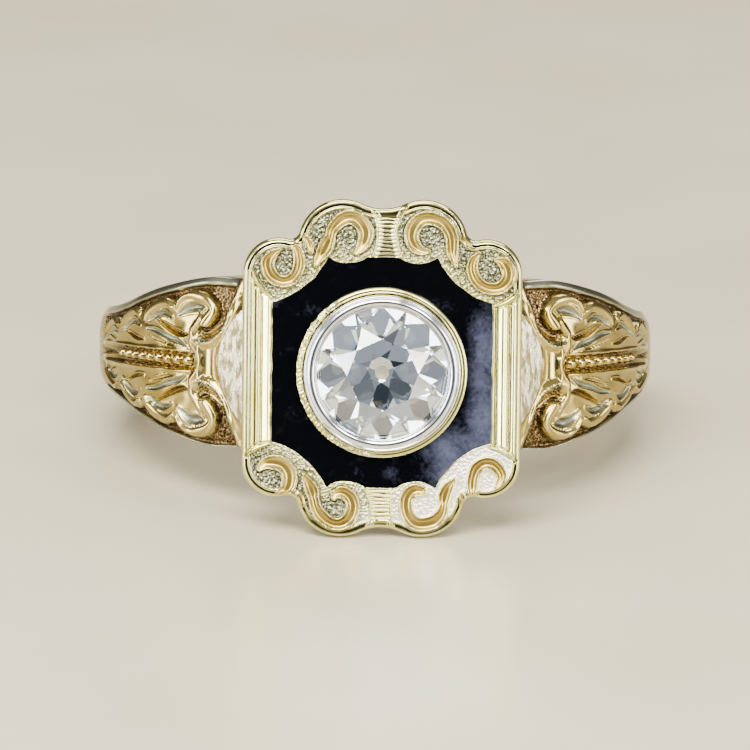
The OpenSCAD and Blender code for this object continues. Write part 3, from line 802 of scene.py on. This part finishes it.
def make_collar():
    """Low ring of yellow gold round the setting, chiselled on its left and smooth on its right."""

    def chiselled(angle, radius, w):
        """The graver's notches in the left half of the top, as a height of 0 or less."""
        left = ease(-0.1, -0.75, np.cos(angle - 0.25))
        top = ease(FACE_W - 0.12, FACE_W - 0.08, w)
        notch = ease(0.2, 0.5, scatter(angle * radius, radius + 0 * angle, 0.17, 6.0))
        return top * left * (0.09 * (notch - 1))

    top = FACE_W - 0.02
    profile = [
        (3.03, SEAT_W), (3.03, top - 0.06), (3.05, top - 0.02), (3.08, top), (3.12, top + 0.01),
        (3.16, top + 0.01), (3.2, top), (3.24, top - 0.02), (3.26, top - 0.05), (COLLAR_R, top - 0.1),
        (COLLAR_R, ENAMEL_W - 0.3), (3.15, SEAT_W),
    ]
    return turned("collar", profile, 720, chiselled)


def make_bezel():
    """Setting of white gold: a broad bright lip between two fine turned grooves."""
    top = BEZEL_TOP
    profile = [
        (2.3, SEAT_W + 0.02), (2.3, GIRDLE_W - 0.45), (2.62, GIRDLE_W - 0.1), (2.62, GIRDLE_W + 0.06),
        (2.5, GIRDLE_W + 0.13), (LIP_R, GIRDLE_W + 0.18), (2.515, top - 0.12), (2.54, top - 0.1),
        (2.56, top - 0.115), (2.575, top - 0.08), (2.6, top - 0.04), (2.66, top - 0.008), (2.73, top),
        (2.8, top - 0.01), (2.85, top - 0.04), (2.875, top - 0.07), (2.885, top - 0.115),
        (2.9, top - 0.12), (2.915, top - 0.1), (2.95, top - 0.105), (2.98, top - 0.14),
        (BEZEL_R, top - 0.2), (BEZEL_R, SEAT_W + 0.02),
    ]
    return turned("bezel_ring", profile, 360)


ENAMEL_COLUMNS, ENAMEL_ROWS = 720, 40
# Small patches of bloom on the enamel: u, v, radius and strength
BLOOM_SPOTS = [
    (2.1, 2.5, 0.8, 0.42), (-4.0, 2.6, 0.35, 0.6), (0.4, -4.1, 0.45, 0.55), (-0.9, -3.9, 0.3, 0.3),
]


def enamel_bloom(u, v):
    """How worn the enamel is: along its right side, over its lower right quarter, and in a few spots."""
    right = ease(2.9, 3.8, u) * ease(3.2, 1.4, v)
    lower = ease(0.8, 2.6, u) * ease(-1.7, -2.8, v)
    worn = np.maximum(right, lower)
    for at_u, at_v, radius, strength in BLOOM_SPOTS:
        worn = np.maximum(worn, strength * crest(np.hypot(u - at_u, v - at_v), radius))
    return worn


def make_enamel():
    """Panel of black enamel: its top is a little uneven, as it was fired and worn."""
    angle = np.linspace(0, 2 * math.pi, ENAMEL_COLUMNS, endpoint=False)
    way = np.stack([np.cos(angle), np.sin(angle)], -1)
    near, far = np.full(ENAMEL_COLUMNS, 3.0), np.full(ENAMEL_COLUMNS, 8.0)
    outer = field_edge(near, far, lambda r: (way[:, 0] * r, FITTED_V + way[:, 1] * r)) + 0.012
    inner = COLLAR_R - 0.02
    radius = outer + (inner - outer) * np.linspace(0, 1, ENAMEL_ROWS)[:, None]
    u, v = radius * way[:, 0], FITTED_V + radius * way[:, 1]
    wear = 0.006 * wander(u, v, 0.6, 3.0) + 0.004 * wander(u, v, 0.22, 8.0)
    rows = list(on_head(u, v, ENAMEL_W + wear))
    for r in (inner + 0 * angle, outer):
        rows.append(round_setting(angle, r, ENAMEL_W - 0.4))
    points = np.stack(rows)
    bloom = np.zeros(points.shape[:2])
    bloom[:len(u)] = enamel_bloom(u, v)
    return woven("enamel", points, {"bloom": bloom})


def stone_flats():
    """A point and a normal for each facet of the stone, in millimetres from the girdle's middle."""
    eighth = math.pi / 4
    crown = CROWN_H / (STONE_R - TABLE_R)
    pavilion = -math.tan(math.radians(PAVILION_ANGLE))

    def at(radius, turn, w):
        """A point by its distance from the axis, its turn round it and its height."""
        return Vector((radius * math.cos(turn), radius * math.sin(turn), w))

    def between_mains(radius, w, slope):
        """Height over two neighbouring main facets, half way between them."""
        return w + slope * (STONE_R - radius * math.cos(eighth / 2))

    table_w = GIRDLE_HALF + CROWN_H
    culet_w = -GIRDLE_HALF + (STONE_R - CULET_R) * pavilion
    star_w = between_mains(STAR_R, GIRDLE_HALF, crown)
    lower_w = between_mains(LOWER_R, -GIRDLE_HALF, pavilion)
    cuts = []
    for k in range(8):
        t = k * eighth
        along = Vector((-math.sin(t), math.cos(t), 0))
        upper, lower = at(STONE_R, t, GIRDLE_HALF), at(STONE_R, t, -GIRDLE_HALF)
        table, next_table = at(TABLE_R, t, table_w), at(TABLE_R, t + eighth, table_w)
        cuts.append((upper, table, upper + along))
        cuts.append((table, at(STAR_R, t + eighth / 2, star_w), next_table))
        cuts.append((lower, at(CULET_R, t, culet_w), lower + along))
        for side in (-1, 1):
            tip = t + side * eighth / 2
            cuts.append((at(STAR_R, tip, star_w), upper, at(STONE_R, tip, GIRDLE_HALF)))
            cuts.append((at(LOWER_R, tip, lower_w), lower, at(STONE_R, tip, -GIRDLE_HALF)))
    flats = [(Vector((0, 0, table_w)), Vector((0, 0, 1))), (Vector((0, 0, culet_w)), Vector((0, 0, -1)))]
    for a, b, c in cuts:
        normal = (b - a).cross(c - a).normalized()
        flats.append((a, normal if normal.dot(a) > 0 else -normal))
    return flats


def make_stone():
    """Old cut brilliant: a round blank cut by one plane for each facet."""
    bm = bmesh.new()
    radius, depth = STONE_R * MM, 2 * BLANK_HALF * MM
    bmesh.ops.create_cone(bm, cap_ends=True, segments=64, radius1=radius, radius2=radius, depth=depth)
    for point, normal in stone_flats():
        geom = bm.verts[:] + bm.edges[:] + bm.faces[:]
        cut = bmesh.ops.bisect_plane(
            bm, geom=geom, plane_co=point * MM, plane_no=normal, clear_outer=True, dist=SEAM
        )
        rim = [e for e in cut["geom_cut"] if isinstance(e, bmesh.types.BMEdge)]
        if rim:
            bmesh.ops.edgenet_fill(bm, edges=rim)
    bmesh.ops.remove_doubles(bm, verts=bm.verts, dist=2e-6)
    bmesh.ops.dissolve_limit(bm, angle_limit=0.004, verts=bm.verts, edges=bm.edges)
    turn = math.radians(STONE_TURN)
    for vert in bm.verts:
        x, y, z = vert.co / MM
        u, v = x * math.cos(turn) - y * math.sin(turn), x * math.sin(turn) + y * math.cos(turn)
        vert.co = placed(on_head(u, v + FITTED_V, z + GIRDLE_W))
    return finished("stone", bm, smooth=False)


# Materials

# Sockets of a node that mixes two colours: the colours, and the result
MIX_A, MIX_B, MIX_OUT = 6, 7, 2


def linear(code):
    """An sRGB hex colour as linear values."""
    parts = [int(code[i:i + 2], 16) / 255 for i in (1, 3, 5)]
    return tuple(c / 12.92 if c <= 0.04045 else ((c + 0.055) / 1.055) ** 2.4 for c in parts) + (1.0,)


def two(start, low, end, high):
    """The stops of a ramp from one sRGB hex colour to another."""
    return [(start, linear(low)), (end, linear(high))]


def grey(value):
    """A linear grey, for a factor or a roughness along a ramp."""
    return (value, value, value, 1.0)


def material(name, **sockets):
    """A new material with its shader's sockets set, and its node tree."""
    made = bpy.data.materials.new(name)
    made.use_nodes = True
    tree = made.node_tree
    shader = tree.nodes["Principled BSDF"]
    for socket, value in sockets.items():
        shader.inputs[socket.replace("_", " ")].default_value = value
    return made, tree, shader


def add(tree, kind, sockets=None, out=0, stops=(), **settings):
    """Adds a node with its settings and its ramp's stops, its sockets set or linked. Gives an output."""
    node = tree.nodes.new("ShaderNode" + kind)
    for key, value in settings.items():
        setattr(node, key, value)
    for key, value in (sockets or {}).items():
        if isinstance(value, bpy.types.NodeSocket):
            tree.links.new(value, node.inputs[key])
        else:
            node.inputs[key].default_value = value
    for _ in stops[2:]:
        node.color_ramp.elements.new(0.5)
    for index, (at, colour) in enumerate(stops):
        node.color_ramp.elements[index].position = at
        node.color_ramp.elements[index].color = colour
    return node.outputs[out]


def plug(tree, shader, colour, rough, bump):
    """Links a material's colour, roughness and bump to its shader."""
    for socket, source in (("Base Color", colour), ("Roughness", rough), ("Normal", bump)):
        tree.links.new(source, shader.inputs[socket])


def per_metre(size_mm):
    """Texture scale for a pattern whose cells are size_mm wide."""
    return 1 / (size_mm * MM)


def polished_gold(name, deep, pale, channel):
    """14 carat gold, carved and polished: soft scratches, channels tinted as a painted reflection,
    recesses painted dark as dirt and painted shade.
    """
    made, tree, shader = material(name, Metallic=1.0)
    place = add(tree, "TexCoord", out="Object")
    mask = {}
    for layer in ("ground", "crease", "filed", "hollow", "rubbed_and_painted_sheen"):
        mask[layer] = add(tree, "Attribute", out="Fac", attribute_name=layer)
    cloud = add(tree, "TexNoise", {"Vector": place, "Scale": per_metre(1.6), "Detail": 4.0})
    grit = add(tree, "TexNoise", {"Vector": place, "Scale": per_metre(0.07), "Detail": 2.0})
    strokes = add(tree, "Mapping", {"Vector": place, "Scale": (1.0, 1.0, 0.35)})
    patchy = add(tree, "TexNoise", {"Vector": strokes, "Scale": per_metre(0.22), "Detail": 5.0})
    colour = add(tree, "ValToRGB", {"Fac": cloud}, stops=two(0.3, deep, 0.7, pale))
    # The stippled ground is painted near black between its grains, a painted shade; the recesses are
    # painted brown, as dirt and painted shade
    painted_ground_shade = add(tree, "ValToRGB", {"Fac": grit}, stops=two(0.48, "#10140F", 0.63, "#ACAE96"))
    dirt_and_painted_shade = add(tree, "ValToRGB", {"Fac": grit}, stops=two(0.4, "#1C1208", 0.64, "#74552A"))
    # The filed facets are painted pale, a painted highlight, with greyer patches at random
    painted_filed_highlight = add(tree, "ValToRGB", {"Fac": patchy}, stops=two(0.42, "#77725A", 0.56, "#F4F0DA"))
    # Over the gold's own tone: painted reflections in the hollows, painted shade on the ground, dirt and
    # painted shade in the recesses, a painted sheen on the rubbed quarter, a painted highlight on the
    # filed facets
    for layer, share, over in (
        ("hollow", 0.85, linear(channel)), ("ground", 0.92, painted_ground_shade), ("crease", 0.85, dirt_and_painted_shade),
        ("rubbed_and_painted_sheen", 0.8, linear("#FAF6E2")), ("filed", 0.75, painted_filed_highlight),
    ):
        factor = add(tree, "Math", {0: mask[layer], 1: share}, operation="MULTIPLY")
        sockets = {0: factor, MIX_A: colour, MIX_B: over}
        colour = add(tree, "Mix", sockets, out=MIX_OUT, data_type="RGBA")
    rough = add(tree, "Math", {0: cloud, 1: 0.06, 2: 0.13}, operation="MULTIPLY_ADD")
    for layer, more in (("hollow", 0.12), ("rubbed_and_painted_sheen", 0.3), ("ground", 0.16)):
        rough = add(tree, "Math", {0: mask[layer], 1: more, 2: rough}, operation="MULTIPLY_ADD")
    # Fine polishing scratches run along the bars and across the band, deeper on the filed facets
    drawn = add(tree, "Mapping", {"Vector": place, "Scale": (1.0, 1.0, 0.12)})
    lines = add(tree, "TexNoise", {"Vector": drawn, "Scale": per_metre(0.09), "Detail": 3.0})
    line_depth = add(tree, "Math", {0: mask["filed"], 1: 6.0, 2: 0.25}, operation="MULTIPLY_ADD")
    grit_depth = add(tree, "Math", {0: mask["ground"], 1: 0.15}, operation="ADD")
    scratches = add(tree, "Math", {0: lines, 1: line_depth}, operation="MULTIPLY")
    height = add(tree, "Math", {0: grit, 1: grit_depth, 2: scratches}, operation="MULTIPLY_ADD")
    bump = add(tree, "Bump", {"Height": height, "Strength": 0.35, "Distance": 0.012 * MM})
    plug(tree, shader, colour, rough, bump)
    return made


def polished_white_gold():
    """14 carat white gold, turned and burnished over the stone: nearly colourless and mirror bright."""
    made, tree, shader = material("polished_white_gold", Metallic=1.0)
    place = add(tree, "TexCoord", out="Object")
    haze = add(tree, "TexNoise", {"Vector": place, "Scale": per_metre(0.5), "Detail": 3.0})
    colour = add(tree, "ValToRGB", {"Fac": haze}, stops=two(0.3, "#E4E2E4", 0.7, "#FBFAFA"))
    rough = add(tree, "Math", {0: haze, 1: 0.08, 2: 0.05}, operation="MULTIPLY_ADD")
    bump = add(tree, "Bump", {"Height": haze, "Strength": 0.25, "Distance": 0.006 * MM})
    plug(tree, shader, colour, rough, bump)
    return made


def black_enamel():
    """Vitreous enamel, fired and polished: deep black glass with blue grey bloom where it is worn."""
    made, tree, shader = material("black_vitreous_enamel", Metallic=0.0, IOR=1.55)
    place = add(tree, "TexCoord", out="Object")
    bloom = add(tree, "Attribute", out="Fac", attribute_name="bloom")
    broad = {"Vector": place, "Scale": per_metre(1.1), "Detail": 9.0, "Roughness": 0.7}
    patch = add(tree, "TexNoise", broad)
    grain = add(tree, "TexNoise", {"Vector": place, "Scale": per_metre(0.16), "Detail": 6.0})
    worn = add(tree, "Math", {0: patch, 1: 0.75}, operation="MULTIPLY")
    for source, share in ((grain, 0.3), (bloom, 0.36)):
        worn = add(tree, "Math", {0: source, 1: share, 2: worn}, operation="MULTIPLY_ADD")
    blacks = [(0.62, linear("#020203")), (0.76, linear("#1C1E28")), (1.0, linear("#3A3D4E"))]
    colour = add(tree, "ValToRGB", {"Fac": worn}, stops=blacks)
    rough = add(tree, "ValToRGB", {"Fac": worn}, stops=[(0.66, grey(0.06)), (0.85, grey(0.15))])
    bump = add(tree, "Bump", {"Height": patch, "Strength": 0.15, "Distance": 0.008 * MM})
    plug(tree, shader, colour, rough, bump)
    return made


def cut_diamond():
    """Diamond, cut and polished: clear, very bright glass-like facets with strong refraction, faintly blue
    as a painted reflection.
    """
    # Its faint blue is a painted reflection of the bluish light round it
    clear = {"Transmission_Weight": 1.0, "Base_Color": linear("#ECF6FF")}
    made, _, _ = material("cut_diamond", Metallic=0.0, Roughness=0.0, IOR=2.417, **clear)
    return made


def pale_stone_floor():
    """Honed pale limestone: warm white, with a soft sheen."""
    made, tree, shader = material("pale_honed_stone", Roughness=0.28, IOR=1.5)
    place = add(tree, "TexCoord", out="Object")
    cloud = add(tree, "TexNoise", {"Vector": place, "Scale": per_metre(14), "Detail": 3.0})
    colour = add(tree, "ValToRGB", {"Fac": cloud}, stops=two(0.3, "#AEA58B", 0.7, "#B7AF97"))
    tree.links.new(colour, shader.inputs["Base Color"])
    return made


# Pieces

# The head's channels are tinted amber and the band's scoops blue grey, each a painted reflection
pale_gold = polished_gold("polished_pale_yellow_gold", "#CEC674", "#E2DC9E", "#B4923A")
# The band is the same gold as the head, painted deeper and darker as a painted shade of gold reflecting
# gold
yellow_gold = polished_gold("polished_gold_painted_shade", "#A28D46", "#B9A66A", "#84918A")
for piece, made, slot, nodes in (
    (make_head(), pale_gold, "yellow_gold", ["gold_ring"]),
    (make_band(), yellow_gold, "yellow_gold", ["gold_ring"]),
    (make_collar(), pale_gold, "yellow_gold", ["gold_ring"]),
    (make_bezel(), polished_white_gold(), "white_gold", ["bezel"]),
    (make_enamel(), black_enamel(), "black_enamel", ["enamel_panel"]),
    (make_stone(), cut_diamond(), "diamond", ["diamond"]),
):
    piece.data.materials.append(made)
    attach(piece, "root")
    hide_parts(*nodes)


# Floor, lights and camera

CAMERA_AZIMUTH, CAMERA_ELEVATION, CAMERA_ROLL = -1.5, 18.5, 1.0
OPENING_ELEVATION = 13


def make_floor():
    """A plain table top under the ring."""
    bm = bmesh.new()
    bmesh.ops.create_grid(bm, x_segments=1, y_segments=1, size=0.6)
    floor = finished("floor", bm)
    floor.data.materials.append(pale_stone_floor())


FACE_CENTRE = Vector(placed(on_head(0.0, 0.0, FACE_W)))


def ray(azimuth, elevation):
    """Direction from the head at an azimuth, 0 in front and growing to the right, and an elevation."""
    a, e = math.radians(azimuth), math.radians(elevation)
    return Vector((math.sin(a) * math.cos(e), -math.cos(a) * math.cos(e), math.sin(e)))


def softbox(name, azimuth, elevation, distance, size, power, colour):
    """A rectangular light, aimed at the head. Its size and distance are in metres."""
    data = bpy.data.lights.new(name, "AREA")
    data.shape = "RECTANGLE"
    data.size, data.size_y = size
    data.energy = power
    data.color = linear(colour)[:3]
    light = in_scene(name, data)
    light.location = FACE_CENTRE + ray(azimuth, elevation) * distance
    light.rotation_mode = "QUATERNION"
    light.rotation_quaternion = (FACE_CENTRE - light.location).to_track_quat("-Z", "Y")


def make_lights():
    """Soft lights from above, the sides and behind, a small bright one, and two that rake low."""
    softbox("key", -18, 56, 0.24, (0.18, 0.1), 1.9, "#FFFEF8")
    softbox("right", 50, 16, 0.26, (0.08, 0.16), 0.8, "#FFF9EE")
    softbox("left", -52, 16, 0.26, (0.08, 0.16), 0.9, "#F6FAFF")
    softbox("back", 170, 42, 0.3, (0.25, 0.1), 0.7, "#FFF8EE")
    softbox("sparkle", 24, 38, 0.25, (0.04, 0.04), 0.35, "#F2F7FF")
    softbox("right_rake", 88, 7, 0.26, (0.05, 0.12), 0.26, "#FFFCF4")
    softbox("left_rake", -89, 7, 0.26, (0.05, 0.12), 0.32, "#FFFCF4")


def make_tent():
    """The pale tent round the ring, brighter towards its top."""
    world = bpy.data.worlds.new("studio")
    bpy.context.scene.world = world
    world.use_nodes = True
    tree = world.node_tree
    way = add(tree, "TexCoord", out="Generated")
    parts = add(tree, "SeparateXYZ", {"Vector": way}).node.outputs
    middle = ray(CAMERA_AZIMUTH, OPENING_ELEVATION)
    facing = add(tree, "VectorMath", {0: way, 1: middle}, out="Value", operation="DOT_PRODUCT")
    heights = [(0.0, "#C8C6BC"), (0.12, "#BEC2C0"), (0.3, "#C6D4DC"), (0.5, "#EEF6FF"), (0.8, "#FFFFFF")]
    tent = add(tree, "ValToRGB", {"Fac": parts["Z"]}, stops=[(at, linear(code)) for at, code in heights])
    for source, stops, over in (
        # Dimmer behind the ring
        (parts["Y"], [(0.15, grey(0.0)), (0.6, grey(1.0))], "#8A7E70"),
        # Brightest in front
        (facing, [(0.5, grey(0.0)), (0.78, grey(0.75))], "#F6FAFF"),
        # A dark opening for the lens, which the flat faces and the stone's table show
        (facing, [(0.97, grey(0.0)), (0.989, grey(1.0))], "#3A4550"),
    ):
        share = add(tree, "ValToRGB", {"Fac": source}, stops=stops)
        sockets = {0: share, MIX_A: tent, MIX_B: linear(over)}
        tent = add(tree, "Mix", sockets, out=MIX_OUT, data_type="RGBA")
    back = tree.nodes["Background"]
    tree.links.new(tent, back.inputs["Color"])
    back.inputs["Strength"].default_value = 0.7


CAMERA_FAR = 250 * MM
# The photograph's width and the head's middle in it, in pixels
PHOTO, HEAD_X, HEAD_Y = 750, 382, 369.2
PIXELS_PER_MM = 26.2


def make_camera():
    """A long lens at the photograph's angle. The head's middle is a little off the picture's middle."""
    data = bpy.data.cameras.new("camera")
    data.sensor_width = 36
    data.lens = 36 * CAMERA_FAR / (PHOTO / PIXELS_PER_MM * MM)
    data.clip_start, data.clip_end = 0.01, 5
    camera = in_scene("camera", data)
    back = ray(CAMERA_AZIMUTH, CAMERA_ELEVATION)
    turn = (-back).to_track_quat("-Z", "Y")
    right, up = turn @ Vector((1, 0, 0)), turn @ Vector((0, 1, 0))
    per_pixel = MM / PIXELS_PER_MM
    aim = FACE_CENTRE - right * (HEAD_X - PHOTO / 2) * per_pixel - up * (PHOTO / 2 - HEAD_Y) * per_pixel
    camera.location = aim + back * CAMERA_FAR
    camera.rotation_mode = "QUATERNION"
    camera.rotation_quaternion = turn @ Quaternion((0, 0, 1), math.radians(CAMERA_ROLL))
    bpy.context.scene.camera = camera


make_floor()
make_lights()
make_tent()
make_camera()
